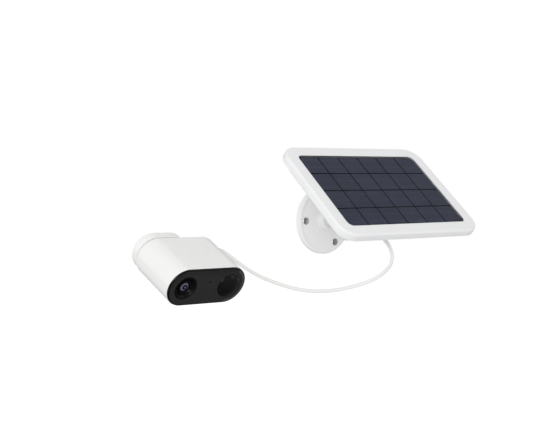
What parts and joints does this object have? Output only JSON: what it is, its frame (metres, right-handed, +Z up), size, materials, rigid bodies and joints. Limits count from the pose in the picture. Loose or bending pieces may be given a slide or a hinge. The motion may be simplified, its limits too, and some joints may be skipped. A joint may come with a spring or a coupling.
{
  "type": "solar-powered security camera",
  "caption": "Wall-mounted battery security camera with a lens and motion sensor in a black face, charged through a cable by a small tilting solar panel on its own bracket.",
  "frame": {"origin": "centre of the panel bracket's back face, on the wall plane y = 0", "axes": "+Z up, +Y into the wall, +X to the right when facing the wall; the camera hangs to the left of the panel"},
  "size_m": [0.3395, 0.1379, 0.1401],
  "materials": {
    "white_plastic": "satin white moulding",
    "frame_plastic": "satin white moulding",
    "bracket_plastic": "fine matt white moulding",
    "arm_plastic": "fine matt light grey moulding",
    "fascia_plastic": "satin black",
    "lens_plastic": "matt black",
    "dome_plastic": "gloss black",
    "lens_glass": "coated glass",
    "panel_glass": "clear tempered glass",
    "solar_cell": "blue-black silicon",
    "backsheet": "black",
    "seal_rubber": "matt black",
    "soft_white": "white flexible",
    "cable_jacket": "white flexible",
    "steel": "bright zinc",
    "brass": "turned",
    "board": "green solder mask",
    "chip": "black moulded",
    "battery": "blue film",
    "tray_plastic": "grey moulding",
    "mount_plastic": "light grey moulding",
    "nylon": "natural nylon"
  },
  "bodies": {
    "wall_mounts": {"bracket_base": "bracket_plastic", "camera_base": "mount_plastic", "ball_arm": "steel", "cable": "cable_jacket"},
    "panel_arm": {"arm_post": "arm_plastic", "post_retainer": "steel", "retainer_screw": "steel", "pivot_pin": "steel", "pivot_knob": "arm_plastic"},
    "panel_head": {"panel_knuckle": "arm_plastic", "lock_nut": "steel", "stud_insert": "brass", "panel_frame": "frame_plastic", "panel_glass": "panel_glass", "solar_cells": "solar_cell", "cell_backing": "backsheet", "glass_gasket": "seal_rubber", "panel_back": "frame_plastic", "back_screws": "steel", "junction_cover": "frame_plastic", "junction_board": "board", "cable_gland": "soft_white"},
    "camera_swivel": {"ball_liner": "nylon"},
    "camera_head": {"plug_boot": "soft_white", "plug_shell": "steel", "ball_socket": "mount_plastic", "socket_ring": "mount_plastic", "socket_insert": "brass", "camera_shell": "white_plastic", "battery_pack": "white_plastic", "pack_seal": "seal_rubber", "front_fascia": "fascia_plastic", "fascia_seal": "seal_rubber", "lens_ring": "lens_plastic", "lens_barrel": "lens_plastic", "lens_glass": "lens_glass", "image_sensor": "chip", "sensor_board": "board", "pir_dome": "dome_plastic", "pir_sensor": "steel", "pir_board": "board", "microphone": "chip", "infrared_leds": "chip", "main_board": "board", "battery_cells": "battery", "battery_tray": "tray_plastic", "speaker": "chip", "antenna": "brass", "usb_port": "steel", "flap_pin": "steel", "button_spring": "steel", "button_switch": "chip", "shell_screws_set": "steel"},
    "reset_button": {"reset_button": "soft_white"},
    "port_flap": {"port_flap": "soft_white"}
  },
  "joints": [
    {"name": "arm_turn", "type": "hinge", "parent": "wall_mounts", "child": "panel_arm", "pos_m": [0, -0.01, 0], "axis": [0, 1, 0], "range_deg": [-35, 35], "deforming": ["cable"]},
    {"name": "panel_tilt", "type": "hinge", "parent": "panel_arm", "child": "panel_head", "pos_m": [0, -0.062, 0], "axis": [1, 0, 0], "range_deg": [-15, 30], "deforming": ["cable"]},
    {"name": "camera_pan", "type": "hinge", "parent": "wall_mounts", "child": "camera_swivel", "pos_m": [-0.18641, -0.01847, -0.0272], "axis": [0, 0, 1], "range_deg": [-12, 30], "deforming": ["cable"]},
    {"name": "camera_tilt", "type": "hinge", "parent": "camera_swivel", "child": "camera_head", "pos_m": [-0.18641, -0.01847, -0.0272], "axis": [0.9994, 0.0349, 0], "range_deg": [-28, 10], "deforming": ["cable"]},
    {"name": "button_press", "type": "slide", "parent": "camera_head", "child": "reset_button", "axis": [0.0302, -0.464, 0.8853], "range_m": [0, 0.0008], "stiffness_N_per_m": 400, "deforming": ["button_spring"]},
    {"name": "flap_swing", "type": "hinge", "parent": "camera_head", "child": "port_flap", "pos_m": [-0.17107, -0.02708, -0.02941], "axis": [0.9991, 0.0414, -0.0124], "range_deg": [0, 50]}
  ]
}
